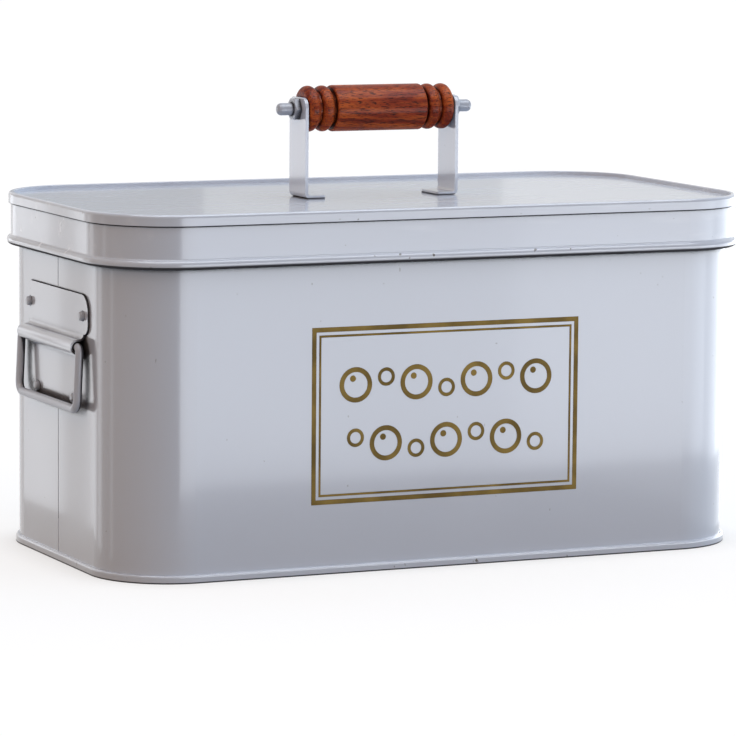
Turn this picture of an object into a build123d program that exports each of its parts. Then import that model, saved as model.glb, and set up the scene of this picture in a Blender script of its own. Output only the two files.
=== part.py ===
from build123d import *
import math
import os

# Detergent storage box of painted sheet steel with a slip-over lid.
# Millimetres, +Z up, the printed front faces -Y and the long way runs along X.

# Sheet and clearances
sheet = 0.7  # box and lid
plate_sheet = 1.0  # side handle plates
strap_sheet = 1.6  # straps of the lid handle
seam_slack = 0.05  # sheet inside a folded seam
run_gap = 0.3  # between pieces that move past each other
hole_slack = 0.05  # rivet or rod in its hole

# Box
box_width = 330.0
box_depth = 170.0
box_height = 169.8
corner_radius = 37.0
base_rim_height = 3.9
base_rim_proud = 1.8
base_rim_round = 1.1
base_foot_round = 0.5
curl_radius = 1.3  # outside of the rolled upper edge
side_seam_width = 7.0
side_seam_layers = 2  # layers of sheet folded in behind the wall
side_seam_gap = 0.6
side_seam_depth = 0.4

# Lid
lid_height = 25.6
lid_stand_off = 4.0  # outside of the skirt from the box wall
bead_radius = 2.3
bead_fillet = 0.8
rim_height = 5.3
rim_depth = 1.8  # top panel below the rim
rim_slack = 0.45  # folded rim off the skirt's outside
rim_cap = 1.0
rim_round = 1.5
rim_inner_round = 0.5

# Lid handle
grip_gap = 0.4  # grip to strap
grip_length = 78.0
grip_radius = 11.2
grip_axis_height = 43.2  # above the top panel
grip_middle = 48.0
grip_middle_radius = 11.3
grip_edge_round = 1.2
bead_land = 0.13  # narrow flat on the top of a turned bead
groove_radius = 8.6
groove_width = 1.0
strap_width = 19.5
strap_over_axis = 5.8
strap_corner = 5.0
strap_bend = 1.2
foot_length = 11.0
foot_corner = 1.5
rod_radius = 3.0
rod_reach = 11.0  # rod past the strap
rod_end_round = 2.2
nut_flats = 10.0
nut_height = 3.2
nut_chamfer_angle = 30.0

# Side handles
handle_axis_height = 107.0
handle_reach = 4.0  # bail axis from the wall
wire_radius = 2.0
barrel_play = 0.6  # wire inside the rolled barrel
barrel_length = 73.0
barrel_bend = 2.2
flange_width = 84.0
flange_rise = 24.5  # upper edge above the axis
flange_corner = 8.0
flange_foot_corner = 5.0
tongue_width = 56.0
tongue_drop = 31.5  # lower edge below the axis
tongue_corner = 5.0
bail_leg = 39.5  # centre of a leg from the middle
bail_drop = 29.5
bail_upper_bend = 3.0
bail_lower_bend = 5.0

# Rivets
rivet_radius = 1.5
rivet_head_radius = 2.2
rivet_head_height = 2.1
rivet_head_round = 1.1
rivet_tail_radius = 1.9
rivet_tail_height = 0.6
upper_rivet_side = 35.7
upper_rivet_rise = 14.5
lower_rivet_side = 24.7
lower_rivet_drop = 25.5

# Gold print on the front
print_thickness = 0.1
print_width = 140.0
print_height = 84.0
print_centre = 75.2
outer_rule = 2.2
rule_gap = 1.5
inner_rule = 1.0
large_bubble = 8.4  # outside radius
large_rule = 2.3
small_bubble = 4.4
small_rule = 1.6
bubble_space = 3.0
bubble_sway = 3.2  # small bubbles above and below the row
shine_radius = 1.5
shine_reach = 3.0
row_rise = 14.2
row_count = 7

# Sizes that follow
half_width = box_width / 2
half_depth = box_depth / 2
flat_x = half_width - corner_radius
flat_y = half_depth - corner_radius
panel_bottom = box_height + run_gap
panel_top = panel_bottom + sheet
rim_top = panel_top + rim_depth
rim_bottom = rim_top - rim_height
lid_bottom = rim_top - lid_height
skirt_outer = corner_radius + lid_stand_off
skirt_inner = skirt_outer - sheet
skirt_top = rim_top - rim_cap
grip_axis = panel_top + grip_axis_height
strap_inside = grip_length / 2 + grip_gap
strap_outside = strap_inside + strap_sheet
strap_top = grip_axis + strap_over_axis
barrel_inner = wire_radius + barrel_play
barrel_outer = barrel_inner + plate_sheet
flange_top = handle_axis_height + flange_rise
tongue_bottom = handle_axis_height - tongue_drop
upper_rivet_height = handle_axis_height + upper_rivet_rise
lower_rivet_height = handle_axis_height - lower_rivet_drop
bail_stand = plate_sheet + rivet_head_height + run_gap + wire_radius  # lower bar off the rivet heads
bail_hang = math.degrees(math.asin((bail_stand - handle_reach) / bail_drop))
front = -half_depth


def block(low_x, high_x, low_y, high_y):
    # Flat rectangle between its sides.
    corner = Pos((low_x + high_x) / 2, (low_y + high_y) / 2)
    return corner * Rectangle(high_x - low_x, high_y - low_y)


def rounded(shape, points, radius):
    # Rounds the corners of a flat shape that lie nearest the points.
    corners = [shape.vertices().sort_by_distance((x, y, 0))[0] for x, y in points]
    return fillet(corners, radius)


def around(section):
    # Carries a section round the box. Its first axis counts from the corner's centre, its second is height.
    upright = Plane.XZ * section
    corner = revolve(upright, Axis.Z, 90)
    pieces = []
    for quarter in range(4):
        side_x = 1 if quarter in (0, 3) else -1
        side_y = 1 if quarter in (0, 1) else -1
        run = 2 * flat_y if quarter in (0, 2) else 2 * flat_x
        place = Pos(side_x * flat_x, side_y * flat_y, 0) * Rot(0, 0, 90 * quarter)
        pieces.append(place * corner)
        pieces.append(place * extrude(upright, run))
    return pieces[0].fuse(*pieces[1:]).clean()


def rounded_panel(reach, bottom, thickness):
    # Flat panel whose edge runs at a distance from the corner centres.
    outline = RectangleRounded(2 * (flat_x + reach), 2 * (flat_y + reach), reach)
    return Pos(0, 0, bottom) * extrude(outline, thickness)


def cross_pin(radius, low_x, high_x, y, z):
    # Round bar along X.
    return Pos((low_x + high_x) / 2, y, z) * Rot(0, 90, 0) * Cylinder(radius, high_x - low_x)


def both_ends(piece):
    # The same piece at the right end and, turned round, at the left end.
    at_right = Pos(half_width, 0, 0) * piece
    return {"right": at_right, "left": Rot(0, 0, 180) * at_right}


def rivet_places():
    # Across the end wall and up it.
    upper = [(side * upper_rivet_side, upper_rivet_height) for side in (-1, 1)]
    lower = [(side * lower_rivet_side, lower_rivet_height) for side in (-1, 1)]
    return upper + lower


def make_wall():
    inner = corner_radius - sheet
    flange_end = corner_radius + base_rim_proud - sheet - seam_slack
    curl_centre = (inner + curl_radius, box_height - curl_radius)
    wall = block(inner, corner_radius, sheet, curl_centre[1])
    wall += block(inner, flange_end, sheet, 2 * sheet)
    curl = Circle(curl_radius) - Circle(curl_radius - sheet)
    curl -= block(-curl_radius, 0, -curl_radius, 0)
    body = around(wall + Pos(*curl_centre) * curl)
    # Folded seam up the middle of the left end: layers inside, a fine joint outside.
    seam_top = curl_centre[1] - curl_radius
    low = 2 * sheet
    layers = extrude(Plane.XY.offset(low) * block(
        -half_width + sheet / 2,
        -half_width + sheet * (1 + side_seam_layers),
        -side_seam_width / 2,
        side_seam_width / 2), seam_top - low)
    joint = extrude(Plane.XY.offset(low) * block(
        -half_width - sheet,
        -half_width + side_seam_depth,
        -side_seam_gap / 2,
        side_seam_gap / 2), seam_top - low)
    body = body.fuse(layers).cut(joint)
    reach = 2 * sheet
    for y, z in rivet_places():
        for end in (-1, 1):
            middle = end * half_width
            body -= cross_pin(rivet_radius + hole_slack, middle - reach, middle + reach, y, z)
    return body


def make_base():
    outer = corner_radius + base_rim_proud
    fold = corner_radius + seam_slack
    lip = block(outer - 2 * sheet, outer, 0, base_rim_height)
    lip += block(fold, outer, base_rim_height - sheet, base_rim_height)
    lip -= block(fold - sheet, outer - sheet, sheet, base_rim_height - sheet)
    lip = rounded(lip, [(outer, base_rim_height)], base_rim_round)
    lip = rounded(lip, [(outer, 0)], base_foot_round)
    return around(lip).fuse(rounded_panel(outer - sheet, 0, sheet)).clean()


def make_lid_top():
    inner = skirt_inner - seam_slack
    outer = skirt_outer + rim_slack
    rim = block(inner - sheet, outer + sheet, rim_bottom, rim_top)
    rim -= block(inner, outer, rim_bottom, rim_top - rim_cap)
    rim -= block(inner - sheet, inner, rim_bottom, panel_bottom)
    rim = rounded(rim, [(outer + sheet, rim_top)], rim_round)
    rim = rounded(rim, [(inner - sheet, rim_top)], rim_inner_round)
    return around(rim).fuse(rounded_panel(inner, panel_bottom, sheet)).clean()


def make_lid_skirt():
    middle = skirt_outer - sheet / 2
    bead_height = lid_bottom + bead_radius
    bead_inner = bead_radius - sheet
    bead = Circle(bead_radius) - Circle(bead_inner) - block(-bead_radius, 0, -bead_radius, bead_radius)
    band = block(skirt_inner, skirt_outer, bead_height + bead_inner, skirt_top)
    lip = block(skirt_inner, middle, lid_bottom, lid_bottom + sheet)
    section = band + Pos(middle, bead_height) * bead + lip
    section = rounded(section, [(skirt_outer, bead_height + bead_radius)], bead_fillet)
    return around(section)


def make_strap(side):
    outer_bend = strap_bend + strap_sheet
    leg = block(strap_inside, strap_outside, panel_top, strap_top)
    foot = block(strap_outside - foot_length, strap_outside, panel_top, panel_top + strap_sheet)
    profile = rounded(leg + foot, [(strap_inside, panel_top + strap_sheet)], strap_bend)
    profile = rounded(profile, [(strap_outside, panel_top)], outer_bend)
    strap = extrude(Plane.XZ * profile, strap_width / 2, both=True)
    strap = fillet(strap.edges().filter_by(Axis.X).group_by(Axis.Z)[-1], strap_corner)
    strap = fillet(strap.edges().filter_by(Axis.Z).group_by(Axis.X)[0], foot_corner)
    low = strap_inside - strap_sheet
    high = strap_outside + strap_sheet
    strap -= cross_pin(rod_radius + hole_slack, low, high, 0, grip_axis)
    return strap if side > 0 else Rot(0, 0, 180) * strap


def make_grip():
    half = grip_length / 2
    half_middle = grip_middle / 2
    bead = (half - half_middle - 2 * groove_width) / 2
    inner_start = half_middle + groove_width
    outer_start = inner_start + bead + groove_width
    middle = rounded(
        block(-half_middle, half_middle, 0, grip_middle_radius),
        [(-half_middle, grip_middle_radius), (half_middle, grip_middle_radius)],
        grip_edge_round)
    profile = middle + block(-outer_start, outer_start, 0, groove_radius)
    for side in (-1, 1):
        for start in (inner_start, outer_start):
            round_bead = Pos(side * (start + bead / 2), 0) * block(-bead / 2, bead / 2, 0, grip_radius)
            high = [(side * start, grip_radius), (side * (start + bead), grip_radius)]
            profile += rounded(round_bead, high, (bead - bead_land) / 2)
    turned = revolve(Plane.XZ * profile, Axis.X)
    bore = cross_pin(rod_radius + run_gap, -half, half, 0, 0)
    return Pos(0, 0, grip_axis) * (turned - bore)


def make_rod():
    reach = strap_outside + rod_reach
    rod = cross_pin(rod_radius, -reach, reach, 0, grip_axis)
    return fillet(rod.edges().filter_by(GeomType.CIRCLE), rod_end_round)


def make_nuts():
    flats = RegularPolygon(nut_flats / 2, 6, major_radius=False, rotation=30)
    corner = nut_flats / math.sqrt(3)
    drop = (corner - nut_flats / 2) * math.tan(math.radians(nut_chamfer_angle))
    shoulder = nut_height - drop
    edge = nut_flats / 2
    turning = Polyline(
        (0, 0), (corner, 0), (corner, shoulder), (edge, nut_height), (0, nut_height), close=True)
    drilled = extrude(flats - Circle(rod_radius + hole_slack), nut_height)
    nut = drilled & revolve(Plane.XZ * make_face(turning), Axis.Z)
    at_right = Pos(strap_outside, 0, grip_axis) * Rot(0, 90, 0) * nut
    return Compound(children=[at_right, Rot(0, 0, 180) * at_right])


def make_handle_plate():
    # Section from the wall outwards, then cut to the outline seen from the end.
    low = handle_axis_height - barrel_outer
    high = handle_axis_height + barrel_outer
    axis = Pos(handle_reach, handle_axis_height)
    solid = block(0, plate_sheet, tongue_bottom, flange_top)
    solid += block(0, handle_reach, low, high) + axis * Circle(barrel_outer)
    solid = rounded(solid, [(plate_sheet, low), (plate_sheet, high)], barrel_bend)
    low = handle_axis_height - barrel_inner
    high = handle_axis_height + barrel_inner
    hollow = block(-handle_reach, 0, tongue_bottom, flange_top)
    hollow += block(-handle_reach, handle_reach, low, high) + axis * Circle(barrel_inner)
    hollow = rounded(hollow, [(0, low), (0, high)], barrel_bend + plate_sheet)
    plate = extrude(Plane.XZ * (solid - hollow), flange_width, both=True)
    shoulder = handle_axis_height + barrel_outer + barrel_bend
    waist = handle_axis_height - barrel_outer - barrel_bend
    wide = flange_width / 2
    middle = barrel_length / 2
    narrow = tongue_width / 2
    outline = block(-wide, wide, shoulder, flange_top)
    outline += block(-middle, middle, waist, shoulder)
    outline += block(-narrow, narrow, tongue_bottom, waist)
    outline = rounded(outline, [(-wide, flange_top), (wide, flange_top)], flange_corner)
    outline = rounded(outline, [(-wide, shoulder), (wide, shoulder)], flange_foot_corner)
    outline = rounded(outline, [(-narrow, tongue_bottom), (narrow, tongue_bottom)], tongue_corner)
    past_barrel = 2 * (handle_reach + barrel_outer)
    plate &= extrude(Plane.YZ * outline, past_barrel, both=True)
    for y, z in rivet_places():
        plate -= cross_pin(rivet_radius + hole_slack, -plate_sheet, 2 * plate_sheet, y, z)
    return plate


def make_rivets():
    # Domed heads on the plate, formed tails inside the wall.
    head = Pos(0, 0, plate_sheet) * extrude(Circle(rivet_head_radius), rivet_head_height)
    head = fillet(head.edges().filter_by(GeomType.CIRCLE).group_by(Axis.Z)[-1], rivet_head_round)
    shank = Pos(0, 0, -sheet) * extrude(Circle(rivet_radius), sheet + plate_sheet)
    tail = Pos(0, 0, -sheet - rivet_tail_height) * extrude(Circle(rivet_tail_radius), rivet_tail_height)
    rivet = Rot(0, 90, 0) * (head + shank + tail)
    return Compound(children=[Pos(0, y, z) * rivet for y, z in rivet_places()])


def make_bail():
    # Closed wire loop that hangs from the barrel's axis and leans on the lower rivets.
    top = 0
    bottom = -bail_drop
    wire = Circle(wire_radius)
    pieces = []
    runs = ((top, bail_upper_bend), (bottom, bail_lower_bend))
    for height, bend in runs:
        half = bail_leg - bend
        pieces.append(Pos(0, 0, height) * extrude(Plane.XZ * wire, half, both=True))
        centre = height - bend if height == top else height + bend
        turn = Torus(bend, wire_radius, major_angle=90, align=None)
        quarters = (0, 1) if height == top else (3, 2)
        for side, quarter in zip((1, -1), quarters):
            pieces.append(Pos(0, side * half, centre) * Rot(90 * quarter, 0, 0) * (Plane.YZ * turn))
    leg_bottom = bottom + bail_lower_bend
    leg = extrude(wire, top - bail_upper_bend - leg_bottom)
    for side in (-1, 1):
        pieces.append(Pos(0, side * bail_leg, leg_bottom) * leg)
    bail = pieces[0].fuse(*pieces[1:]).clean()
    return Pos(handle_reach, 0, handle_axis_height) * Rot(0, -bail_hang, 0) * bail


def frame(inset, width):
    # Rectangular rule, its outside set in from the edge of the print.
    outer = Rectangle(print_width - 2 * inset, print_height - 2 * inset)
    step = inset + width
    return outer - Rectangle(print_width - 2 * step, print_height - 2 * step)


def bubble(large):
    if not large:
        return Circle(small_bubble) - Circle(small_bubble - small_rule)
    return Circle(large_bubble) - Circle(large_bubble - large_rule)


def bubble_row(rise, large_first):
    # Large and small bubbles by turns, the small ones high and low by turns.
    pitch = large_bubble + small_bubble + bubble_space
    shapes = []
    for place in range(row_count):
        large = (place % 2 == 0) == large_first
        across = (place - (row_count - 1) / 2) * pitch
        if large:
            shapes.append(Pos(across - shine_reach / 2, rise + shine_reach) * Circle(shine_radius))
        sway = 0 if large else bubble_sway * (1 if place % 4 < 2 else -1)
        shapes.append(Pos(across, rise + sway) * bubble(large))
    return shapes


def make_print():
    # Double rule round two rows of plain bubbles.
    shapes = [frame(0, outer_rule), frame(outer_rule + rule_gap, inner_rule)]
    shapes += bubble_row(row_rise, True)
    shapes += bubble_row(-row_rise, False)
    face = Plane(origin=(0, front, print_centre), x_dir=(1, 0, 0), z_dir=(0, -1, 0))
    solids = [extrude(face * shape, print_thickness) for shape in shapes]
    return Compound(children=[solid for piece in solids for solid in piece.solids()])


plates = both_ends(make_handle_plate())
rivets = both_ends(make_rivets())
bails = both_ends(make_bail())

nodes = {
    "box_wall": make_wall(),
    "base_pan": make_base(),
    "left_handle_plate": plates["left"],
    "right_handle_plate": plates["right"],
    "left_handle_rivets": rivets["left"],
    "right_handle_rivets": rivets["right"],
    "front_print": make_print(),
    "left_bail": bails["left"],
    "right_bail": bails["right"],
    "lid_top": make_lid_top(),
    "lid_skirt": make_lid_skirt(),
    "left_strap": make_strap(-1),
    "right_strap": make_strap(1),
    "grip_rod": make_rod(),
    "grip_nuts": make_nuts(),
    "wood_grip": make_grip(),
}

os.makedirs("parts", exist_ok=True)
for name, piece in nodes.items():
    export_step(piece, f"parts/{name}.step")
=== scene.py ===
import bpy
import math
from mathutils import Matrix, Vector


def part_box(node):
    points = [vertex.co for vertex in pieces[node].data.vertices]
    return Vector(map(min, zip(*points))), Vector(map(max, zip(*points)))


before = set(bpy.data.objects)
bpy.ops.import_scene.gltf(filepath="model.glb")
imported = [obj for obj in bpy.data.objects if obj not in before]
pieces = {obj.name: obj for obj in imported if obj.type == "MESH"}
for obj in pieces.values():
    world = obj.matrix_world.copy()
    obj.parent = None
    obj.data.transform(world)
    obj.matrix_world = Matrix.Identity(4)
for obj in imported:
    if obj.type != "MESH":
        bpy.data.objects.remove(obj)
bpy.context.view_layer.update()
print("frame loaded with", len(pieces), "pieces")


# shader maths as plain expressions
class Wire:
    def __init__(self, finish, socket):
        self.finish = finish
        self.socket = socket

    def math(self, operation, first, second):
        return self.finish.node("ShaderNodeMath", {"operation": operation}, {0: first, 1: second})

    def __add__(self, other):
        return self.math("ADD", self, other)

    def __radd__(self, other):
        return self.math("ADD", other, self)

    def __sub__(self, other):
        return self.math("SUBTRACT", self, other)

    def __rsub__(self, other):
        return self.math("SUBTRACT", other, self)

    def __mul__(self, other):
        return self.math("MULTIPLY", self, other)

    def __rmul__(self, other):
        return self.math("MULTIPLY", other, self)


cornerRays = 12  # rays that feel for corners at each point


class Finish:
    def __init__(self, name, owner=None):
        self.owner = owner or bpy.data.materials.new(name)
        self.owner.use_nodes = True
        self.tree = self.owner.node_tree
        self.tree.nodes.clear()

    def node(self, kind, settings=None, sockets=None, output=0):
        made = self.tree.nodes.new(kind)
        for key, value in (settings or {}).items():
            if key == "stops":
                self.setStops(made.color_ramp, value)
            else:
                setattr(made, key, value)
        for key, value in (sockets or {}).items():
            if isinstance(value, Wire):
                self.tree.links.new(value.socket, made.inputs[key])
            else:
                made.inputs[key].default_value = value
        return Wire(self, made.outputs[output])

    def setStops(self, ramp, stops):
        while len(ramp.elements) < len(stops):
            ramp.elements.new(1.0)
        for element, (place, colour) in zip(ramp.elements, stops):
            element.position = place
            element.color = (*colour, 1.0)

    def place(self):
        return self.node("ShaderNodeTexCoord", output="Object")

    def along(self, axis):
        return self.node("ShaderNodeSeparateXYZ", sockets={0: self.place()}, output="XYZ".index(axis))

    def away(self, axis):
        return self.node("ShaderNodeMath", {"operation": "ABSOLUTE"}, {0: self.along(axis)})

    # coordinates in units of a patch's length, width and height
    def stretched(self, patch, turn=(0.0, 0.0, 0.0)):
        sockets = {"Vector": self.place(), "Scale": patch, "Rotation": turn}
        return self.node("ShaderNodeMapping", {"vector_type": "TEXTURE"}, sockets)

    def noise(self, scale=1.0, detail=2.0, roughness=0.5, vector=None):
        vector = vector or self.place()
        sockets = {"Vector": vector, "Scale": scale, "Detail": detail, "Roughness": roughness}
        return self.node("ShaderNodeTexNoise", sockets=sockets)

    # soft step from 0 to 1 between two values
    def step(self, value, low, high):
        settings = {"interpolation_type": "SMOOTHSTEP"}
        return self.node("ShaderNodeMapRange", settings, {"Value": value, "From Min": low, "From Max": high})

    # 1 inside a band of values, soft at its edges
    def band(self, value, low, high, soft):
        return self.step(value, low - soft, low + soft) * (1 - self.step(value, high - soft, high + soft))

    def mix(self, factor, first, second):
        first = first if isinstance(first, Wire) else (*first, 1.0)
        second = second if isinstance(second, Wire) else (*second, 1.0)
        sockets = {0: factor, 6: first, 7: second}
        return self.node("ShaderNodeMix", {"data_type": "RGBA"}, sockets, output=2)

    def ramp(self, value, stops):
        return self.node("ShaderNodeValToRGB", {"stops": stops}, {0: value})

    def bump(self, height, strength, distance, under=None):
        sockets = {"Height": height, "Strength": strength, "Distance": distance}
        if under:
            sockets["Normal"] = under
        return self.node("ShaderNodeBump", sockets=sockets)

    # 1 where the surface is open for some distance, less in corners
    def open(self, reach):
        return self.node("ShaderNodeAmbientOcclusion", {"samples": cornerRays}, {"Distance": reach}, "AO")

    # 1 for what is seen, straight or in gloss and glass, 0 for the light that bounces
    def seen(self):
        rays = ("Is Camera Ray", "Is Glossy Ray", "Is Transmission Ray")
        straight, mirrored, through = [self.node("ShaderNodeLightPath", output=ray) for ray in rays]
        return straight + mirrored + through

    def surface(self, shader):
        inWorld = isinstance(self.owner, bpy.types.World)
        output = self.tree.nodes.new("ShaderNodeOutputWorld" if inWorld else "ShaderNodeOutputMaterial")
        self.tree.links.new(shader.socket, output.inputs["Surface"])
        return self.owner


# chalk-white enamel over sheet steel, lengths in metres
paint = {
    "colour": (0.535, 0.575, 0.655),
    "shade": (0.505, 0.545, 0.625),
    "scuff": (0.74, 0.76, 0.80),
    "chip": (0.14, 0.13, 0.13),
    # near-black dull colour for the painted shade in corners and the painted shadow under edges
    "paintedShade": (0.030, 0.029, 0.033),
    "cloudScale": 9.0,
    "roughness": 0.18,
    "roughSpread": 0.05,
    "roughScale": 35.0,
    "ior": 1.5,
    "coat": 0.6,
    "coatIor": 1.5,
    "coatRoughness": 0.09,
    "dullRoughness": 0.2,  # what a wholly dull coat adds
    "dullIor": 0.1,  # and takes off
    "scuffPatch": (0.09, 0.012, 0.012),
    "scuffSteps": (0.5, 0.75),
    "scuffRoughness": 0.25,
    "speckScale": 420.0,
    "speckSteps": (0.87, 0.90),
    "speckDepth": 0.4,
    "chipScale": 260.0,
    "chipSteps": (0.74, 0.79),
    "chipSoft": 0.0004,
    "waveScale": 13.0,
    "waveHeight": 0.0012,
    "waveStrength": 0.35,
    "cornerAlong": (0.120, 0.134),  # where the bent corners begin, from the middle
    "cornerAcross": (0.040, 0.054),
    "streakPatch": (0.012, 0.012, 0.8),
    "streakHeight": 0.00025,
    "streakStrength": 0.5,
    "peelScale": 700.0,
    "peelHeight": 0.00002,
    "peelStrength": 0.3,
    # how far ambient occlusion feels for corners and its steps, for the painted shade, then its soft edges
    # and strength
    "fineShadeReach": 0.0016,
    "fineShadeSteps": (0.50, 0.85),
    "deepShadeReach": 0.008,
    "deepShadeSteps": (0.66, 0.76),
    "paintedShadeSoft": 0.0002,
    "paintedShadeCover": 0.92,
}
lowest, highest = -1.0, 1.0  # heights beyond all of the box


# chips: heights with worn edges; then the heights within which seams and inner corners get painted shade,
# and thin bands of painted shadow under edges
def paintFinish(name, paintedLightLevel=1.0, chips=(), shadeHeights=(lowest, highest), shadowLines=(), scuffs=0.0, dull=0.0):
    finish = Finish(name)
    height = finish.along("Z")
    # the level makes this copy of the one enamel lighter or darker piece by piece: painted light and painted
    # shade
    light = [paintedLightLevel * channel for channel in paint["colour"]]
    shade = [paintedLightLevel * channel for channel in paint["shade"]]
    colour = finish.mix(finish.noise(paint["cloudScale"], detail=3.0), shade, light)
    roughness = paint["roughness"] + paint["dullRoughness"] * dull
    roughness = roughness + paint["roughSpread"] * finish.noise(paint["roughScale"])
    if scuffs:
        rubbed = finish.noise(detail=4.0, roughness=0.6, vector=finish.stretched(paint["scuffPatch"]))
        rubbed = scuffs * finish.step(rubbed, *paint["scuffSteps"])
        colour = finish.mix(rubbed, colour, paint["scuff"])
        roughness = roughness + paint["scuffRoughness"] * rubbed
    specks = finish.step(finish.noise(paint["speckScale"], detail=0.0), *paint["speckSteps"])
    specks = paint["speckDepth"] * specks
    for low, high in chips:
        worn = finish.step(finish.noise(paint["chipScale"], detail=1.0), *paint["chipSteps"])
        specks = specks + worn * finish.band(height, low, high, paint["chipSoft"])
    colour = finish.mix(specks, colour, paint["chip"])
    # all the sheet has a slow wave and a fine peel, its bent corners upright streaks
    corner = finish.step(finish.away("X"), *paint["cornerAlong"])
    corner = corner * finish.step(finish.away("Y"), *paint["cornerAcross"])
    wave = finish.noise(paint["waveScale"], detail=1.0)
    streak = corner * finish.noise(vector=finish.stretched(paint["streakPatch"]))
    peel = finish.noise(paint["peelScale"], detail=1.0)
    normal = finish.bump(wave, paint["waveStrength"], paint["waveHeight"])
    normal = finish.bump(streak, paint["streakStrength"], paint["streakHeight"], normal)
    normal = finish.bump(peel, paint["peelStrength"], paint["peelHeight"], normal)
    enamel = finish.node("ShaderNodeBsdfPrincipled", sockets={
        "Base Color": colour,
        "Roughness": roughness,
        "IOR": paint["ior"] - paint["dullIor"] * dull,
        "Coat Weight": paint["coat"] * (1 - dull),
        "Coat Roughness": paint["coatRoughness"],
        "Coat IOR": paint["coatIor"],
        "Normal": normal,
    })
    # painted shade: seams and inner corners, found by ambient occlusion, and the thin bands under edges are
    # mixed towards a near-black dull colour
    paintedShade = finish.node("ShaderNodeBsdfDiffuse", sockets={"Color": (*paint["paintedShade"], 1.0)})
    fine = finish.step(finish.open(paint["fineShadeReach"]), *paint["fineShadeSteps"])
    deep = finish.step(finish.open(paint["deepShadeReach"]), *paint["deepShadeSteps"])
    paintedShadeMask = (1 - fine * deep) * finish.band(height, *shadeHeights, paint["paintedShadeSoft"])
    # painted shadow: thin dark bands along the lid's lower edge and under its rim
    for low, high in shadowLines:
        paintedShadeMask = paintedShadeMask + finish.band(height, low, high, paint["paintedShadeSoft"])
    shadeCover = paint["paintedShadeCover"] * paintedShadeMask
    return finish.surface(finish.node("ShaderNodeMixShader", sockets={0: shadeCover, 1: enamel, 2: paintedShade}))


# varnished red-brown hardwood, its grain along the grip
wood = {
    "dark": (0.060, 0.0045, 0.0015),
    "middle": (0.25, 0.028, 0.006),
    "light": (0.60, 0.125, 0.020),
    "stops": (0.31, 0.45, 0.64),  # where dark, middle and light lie in the grain
    # dark colour of the pores, also used for the painted shade in the grooves
    "poreAndGrooveShade": (0.010, 0.0015, 0.001),
    "grainPatch": (0.050, 0.0030, 0.0030),
    "grainShare": 0.7,
    "tintScale": 45.0,
    "tintShare": 0.3,
    "porePatch": (0.0036, 0.00038, 0.00038),
    "poreSteps": (0.53, 0.63),
    "poreDepth": 0.85,
    "poreHeight": 0.0002,
    "poreStrength": 0.3,
    "slant": (0.0, 0.05, 0.07),
    # reach and steps of the painted shade in the grooves between the beads
    "grooveShadeReach": 0.004,
    "grooveShadeSteps": (0.25, 0.85),
    "grooveShadeDepth": 0.9,
    "roughness": 0.32,
    "roughSpread": 0.2,
    "gloss": 0.06,
    "varnish": 0.12,
    "varnishRoughness": 0.05,
}


def woodFinish():
    finish = Finish("red_hardwood")
    fibres = finish.stretched(wood["grainPatch"], wood["slant"])
    grain = finish.noise(detail=6.0, roughness=0.65, vector=fibres)
    tint = finish.noise(wood["tintScale"])
    stops = list(zip(wood["stops"], (wood["dark"], wood["middle"], wood["light"])))
    colour = finish.ramp(wood["grainShare"] * grain + wood["tintShare"] * tint, stops)
    pores = finish.noise(vector=finish.stretched(wood["porePatch"], wood["slant"]))
    pores = finish.step(pores, *wood["poreSteps"])
    colour = finish.mix(wood["poreDepth"] * pores, colour, wood["poreAndGrooveShade"])
    # painted shade: the grooves between the beads, found by ambient occlusion, are darkened towards the pore
    # colour
    grooveShade = 1 - finish.step(finish.open(wood["grooveShadeReach"]), *wood["grooveShadeSteps"])
    colour = finish.mix(wood["grooveShadeDepth"] * grooveShade, colour, wood["poreAndGrooveShade"])
    shader = finish.node("ShaderNodeBsdfPrincipled", sockets={
        "Base Color": colour,
        "Roughness": wood["roughness"] + wood["roughSpread"] * grain,
        "Specular IOR Level": wood["gloss"],
        "Coat Weight": wood["varnish"],
        "Coat Roughness": wood["varnishRoughness"],
        "Normal": finish.bump(1 - pores, wood["poreStrength"], wood["poreHeight"]),
    })
    return finish.surface(shader)


# flat gold print, a little uneven
gold = {
    "colour": (0.095, 0.060, 0.012),
    "worn": (0.19, 0.125, 0.028),
    "cloudScale": 60.0,
    "cloudSteps": (0.35, 0.7),
    "roughness": 0.42,
    "roughSpread": 0.2,
    "roughScale": 200.0,
    "metal": 0.2,
    "gloss": 0.1,
}


def goldFinish():
    finish = Finish("gold_print_ink")
    cloud = finish.step(finish.noise(gold["cloudScale"], detail=4.0), *gold["cloudSteps"])
    shader = finish.node("ShaderNodeBsdfPrincipled", sockets={
        "Base Color": finish.mix(cloud, gold["colour"], gold["worn"]),
        "Roughness": gold["roughness"] + gold["roughSpread"] * finish.noise(gold["roughScale"]),
        "Metallic": gold["metal"],
        "Specular IOR Level": gold["gloss"],
    })
    return finish.surface(shader)


# how far worn chips, painted shade and painted shadow lines reach below and above the edges that they keep
# to
wearAndShade = {
    "beadChips": (0.001, 0.0046),
    "beadShadowLine": (0.001, 0.0014),
    "rimChips": (0.0, 0.0012),
    "rimShadowLine": (0.0005, 0.0001),
    "rimShade": (0.003, 0.001),
    "footShade": (0.001, 0.0006),
    "baseShade": 0.0007,  # above the ground, under the base
    "wallShade": 0.02,  # above the ground, where the painted shade in the wall's corners starts
}
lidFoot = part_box("lid_skirt")[0][2]
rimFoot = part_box("lid_top")[0][2]
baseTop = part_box("base_pan")[1][2]
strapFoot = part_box("left_strap")[0][2]


def reach(edge, name):
    below, above = wearAndShade[name]
    return edge - below, edge + above


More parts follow.
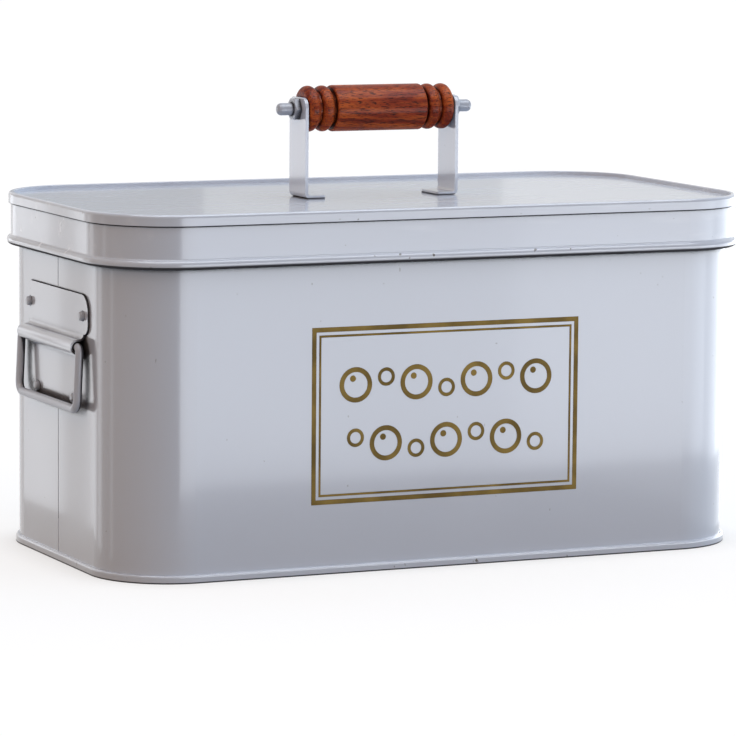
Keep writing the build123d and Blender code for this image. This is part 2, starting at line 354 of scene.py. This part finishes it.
# each coat of the one enamel: the pieces that wear it, then what sets it apart; its level lightens or
# darkens the whole piece as painted light and shade
coats = {
    "box_powder_coat": (["box_wall"], {"shadeHeights": (wearAndShade["wallShade"], highest)}),
    "base_powder_coat": (["base_pan"], {
        "chips": [(0.0, baseTop)],
        "shadeHeights": (lowest, wearAndShade["baseShade"]),
    }),
    "lid_powder_coat": (["lid_top", "lid_skirt"], {
        "paintedLightLevel": 1.02,
        "chips": [reach(lidFoot, "beadChips"), reach(rimFoot, "rimChips")],
        "shadeHeights": reach(rimFoot, "rimShade"),
        "shadowLines": [reach(lidFoot, "beadShadowLine"), reach(rimFoot, "rimShadowLine")],
        "scuffs": 0.35,
    }),
    "strap_powder_coat": (["left_strap", "right_strap"], {
        "paintedLightLevel": 1.04,
        "shadeHeights": reach(strapFoot, "footShade"),
    }),
    "plate_powder_coat": (["left_handle_plate", "right_handle_plate"], {"paintedLightLevel": 0.98}),
    "bail_powder_coat": (["left_bail", "right_bail"], {"paintedLightLevel": 0.90, "dull": 0.7}),
    "fixing_powder_coat": (["left_handle_rivets", "right_handle_rivets", "grip_rod", "grip_nuts"], {
        "paintedLightLevel": 0.76,
        "shadeHeights": (strapFoot, highest),
        "dull": 0.5,
    }),
}


def dress(material, names):
    for name in names:
        for slot in pieces[name].material_slots:
            slot.material = material


for coatName, (wearers, settings) in coats.items():
    dress(paintFinish(coatName, **settings), wearers)
dress(goldFinish(), ["front_print"])
dress(woodFinish(), ["wood_grip"])
print("finishes set")


# pale floor: white where it is seen or mirrored, warm grey to the light that bounces; near the box its glow
# is dimmed by ambient occlusion, a painted contact shadow
ground = {
    "half": 40.0,
    "colour": (0.36, 0.35, 0.34),
    "glow": 0.70,
    "contactShadowReach": 0.022,
    "contactShade": 0.35,
}


def makeFloor():
    half = ground["half"]
    mesh = bpy.data.meshes.new("floor")
    corners = [(-half, -half, 0), (half, -half, 0), (half, half, 0), (-half, half, 0)]
    mesh.from_pydata(corners, [], [(0, 1, 2, 3)])
    floor = bpy.data.objects.new("floor", mesh)
    bpy.context.collection.objects.link(floor)
    finish = Finish("pale_floor")
    shader = finish.node("ShaderNodeBsdfDiffuse", sockets={"Color": (*ground["colour"], 1.0)})
    # painted contact shadow: the glow drops where ambient occlusion finds the box close by
    lit = [ground["glow"]] * 3
    shaded = [ground["glow"] * (1 - ground["contactShade"])] * 3
    glow = finish.mix(finish.seen(), (0, 0, 0), finish.mix(finish.open(ground["contactShadowReach"]), shaded, lit))
    white = finish.node("ShaderNodeEmission", sockets={"Color": glow})
    mesh.materials.append(finish.surface(finish.node("ShaderNodeAddShader", sockets={0: shader, 1: white})))


# light that bounces: bright from the right, dim from the left and the front, a soft ceiling
# each side has the way it lies, then where it fades in, 1 being straight at it
room = {
    "dim": (0.24, 0.15, 0.10),
    "behind": (0.32, 0.335, 0.36),
    "bright": (0.94, 1.00, 1.08),
    "leftBehind": (0.16, 0.19, 0.24),
    "warmCeiling": (0.74, 0.51, 0.35),
    "coolCeiling": (1.05, 1.23, 1.45),
    "seen": (1.0, 1.0, 1.0),
    "backSide": ((0.60, 0.80, 0.0), -0.10, 0.10),
    "rightSide": ((1.0, 0.0, 0.0), 0.25, 0.60),
    "leftSide": ((-1.0, 0.0, 0.0), 0.0, 0.35),
    "warmSide": ((-0.94, -0.34, 0.0), 0.1, 0.4),
    "ceilingSide": ((0.0, -0.25, 0.968), 0.12, 0.55),
}


def makeRoom():
    world = bpy.data.worlds.new("studio")
    bpy.context.scene.world = world
    finish = Finish("studio", world)
    way = finish.node("ShaderNodeTexCoord", output="Generated")

    def towards(side):
        lies, low, high = room[side]
        sockets = {0: way, 1: lies}
        facing = finish.node("ShaderNodeVectorMath", {"operation": "DOT_PRODUCT"}, sockets, "Value")
        return finish.step(facing, low, high)

    back = finish.mix(towards("rightSide"), room["behind"], room["bright"])
    back = finish.mix(towards("leftSide"), back, room["leftBehind"])
    walls = finish.mix(towards("backSide"), room["dim"], back)
    ceiling = finish.mix(towards("warmSide"), room["coolCeiling"], room["warmCeiling"])
    light = finish.mix(towards("ceilingSide"), walls, ceiling)
    colour = finish.mix(finish.seen(), light, room["seen"])
    finish.surface(finish.node("ShaderNodeBackground", sockets={"Color": colour, "Strength": 1.0}))


# cards for the gloss to mirror: two feet, the height of the lower edge, the height, the strength
cards = {
    "front": ((-0.155, -0.355), (0.17, -0.355), 0.0, 0.19, 3.3),
    "front_right": ((0.17, -0.355), (0.33, -0.355), 0.0, 0.19, 4.1),
    "right_corner": ((0.33, -0.355), (0.45, -0.20), 0.0, 0.19, 4.0),
    "right": ((0.45, -0.20), (0.45, 0.40), 0.0, 0.19, 2.6),
    "left": ((-0.215, 0.20), (-0.215, 0.125), 0.0, 0.165, 0.95),
    "left_shade": ((-0.215, 0.125), (-0.215, 0.088), 0.0, 0.165, 0.1),
    "left_edge": ((-0.215, 0.088), (-0.215, 0.035), 0.0, 0.165, 1.05),
    "left_slat": ((-0.215, 0.018), (-0.215, -0.005), 0.0, 0.165, 0.9),
    "left_thin_slat": ((-0.215, -0.038), (-0.215, -0.045), 0.0, 0.165, 0.6),
    "strap": ((-0.24, 0.75), (-0.42, 0.75), 0.08, 0.16, 1.4),
}
cardTint = (0.94, 1.0, 1.08)
# level cards: two corners, the height, the strength, the turn that makes it face up or down
faceUp, faceDown = math.pi, 0.0
levelCards = {
    "floor": ((0.19, -0.35), (0.45, 0.25), 0.002, 0.5, faceUp),
    "overhead": ((-0.60, -0.55), (0.60, 0.10), 0.90, 4.0, faceDown),
}


def makeLamp(name, wide, tall, strength, place, turn):
    lamp = bpy.data.lights.new(name + "_card", "AREA")
    lamp.shape = "RECTANGLE"
    lamp.size = wide
    lamp.size_y = tall
    lamp.color = cardTint
    lamp.energy = strength * math.pi * wide * tall  # as bright at any size
    holder = bpy.data.objects.new(name + "_card", lamp)
    holder.matrix_world = Matrix.Translation(place) @ turn.to_4x4()
    holder.visible_camera = False
    holder.visible_diffuse = False
    bpy.context.collection.objects.link(holder)


def makeCards():
    upright = Vector((0, 0, 1))
    for name, (first, last, lift, tall, strength) in cards.items():
        start, end = Vector((*first, 0.0)), Vector((*last, 0.0))
        along = (end - start).normalized()
        turn = Matrix((along, upright, along.cross(upright))).transposed()
        middle = (start + end) / 2 + upright * (lift + tall / 2)
        makeLamp(name, (end - start).length, tall, strength, middle, turn)
    for name, (low, high, lift, strength, facing) in levelCards.items():
        low, high = Vector((*low, lift)), Vector((*high, lift))
        size = high - low
        turn = Matrix.Rotation(facing, 3, "X")
        makeLamp(name, size.x, size.y, strength, (low + high) / 2, turn)


# grey flags behind the box for the lid's top to mirror: as the cards, with a grey for the strength
flags = {
    "dark": ((0.06, 0.95), (0.30, 0.95), 0.15, 0.30, 0.48),
    "light": ((0.30, 0.95), (0.54, 0.95), 0.15, 0.30, 0.64),
    "pale": ((0.54, 0.95), (0.80, 0.95), 0.15, 0.30, 0.80),
}


def makeFlags():
    for name, (first, last, lift, tall, grey) in flags.items():
        corners = [(*first, lift), (*last, lift), (*last, lift + tall), (*first, lift + tall)]
        mesh = bpy.data.meshes.new(name + "_flag")
        mesh.from_pydata(corners, [], [(0, 1, 2, 3)])
        finish = Finish(name + "_flag_card")
        card = finish.node("ShaderNodeEmission", sockets={"Color": (grey, grey, grey, 1.0)})
        mesh.materials.append(finish.surface(card))
        flag = bpy.data.objects.new(name + "_flag", mesh)
        bpy.context.collection.objects.link(flag)
        flag.visible_camera = False
        flag.visible_diffuse = False
        flag.visible_shadow = False


# camera fitted to the photograph, lengths in metres, angles in degrees
shot = {
    "target": (-0.00235, 0.0, 0.08537),
    "distance": 2.12857,
    "yaw": 24.548,
    "pitch": 7.16,
    "roll": -0.455,
    "focalPixels": 4314.7,
    "imageSide": 736.0,
    "sensor": 36.0,  # millimetres
    "reach": 50.0,
}


def makeCamera():
    yaw, pitch, roll = (math.radians(shot[key]) for key in ("yaw", "pitch", "roll"))
    ahead = Vector((math.sin(yaw) * math.cos(pitch), math.cos(yaw) * math.cos(pitch), -math.sin(pitch)))
    level = Vector((math.cos(yaw), -math.sin(yaw), 0.0))
    below = ahead.cross(level)
    right = level * math.cos(roll) + below * math.sin(roll)
    down = below * math.cos(roll) - level * math.sin(roll)
    camera = bpy.data.cameras.new("photo_view")
    camera.sensor_width = shot["sensor"]
    camera.lens = shot["focalPixels"] / shot["imageSide"] * shot["sensor"]
    camera.clip_end = shot["reach"]
    holder = bpy.data.objects.new("photo_view", camera)
    turn = Matrix((right, -down, -ahead)).transposed()
    place = Vector(shot["target"]) - ahead * shot["distance"]
    holder.matrix_world = Matrix.Translation(place) @ turn.to_4x4()
    bpy.context.collection.objects.link(holder)
    bpy.context.scene.camera = holder


makeFloor()
makeRoom()
makeCards()
makeFlags()
makeCamera()
bpy.context.scene.view_settings.view_transform = "Standard"
print("studio and camera set")
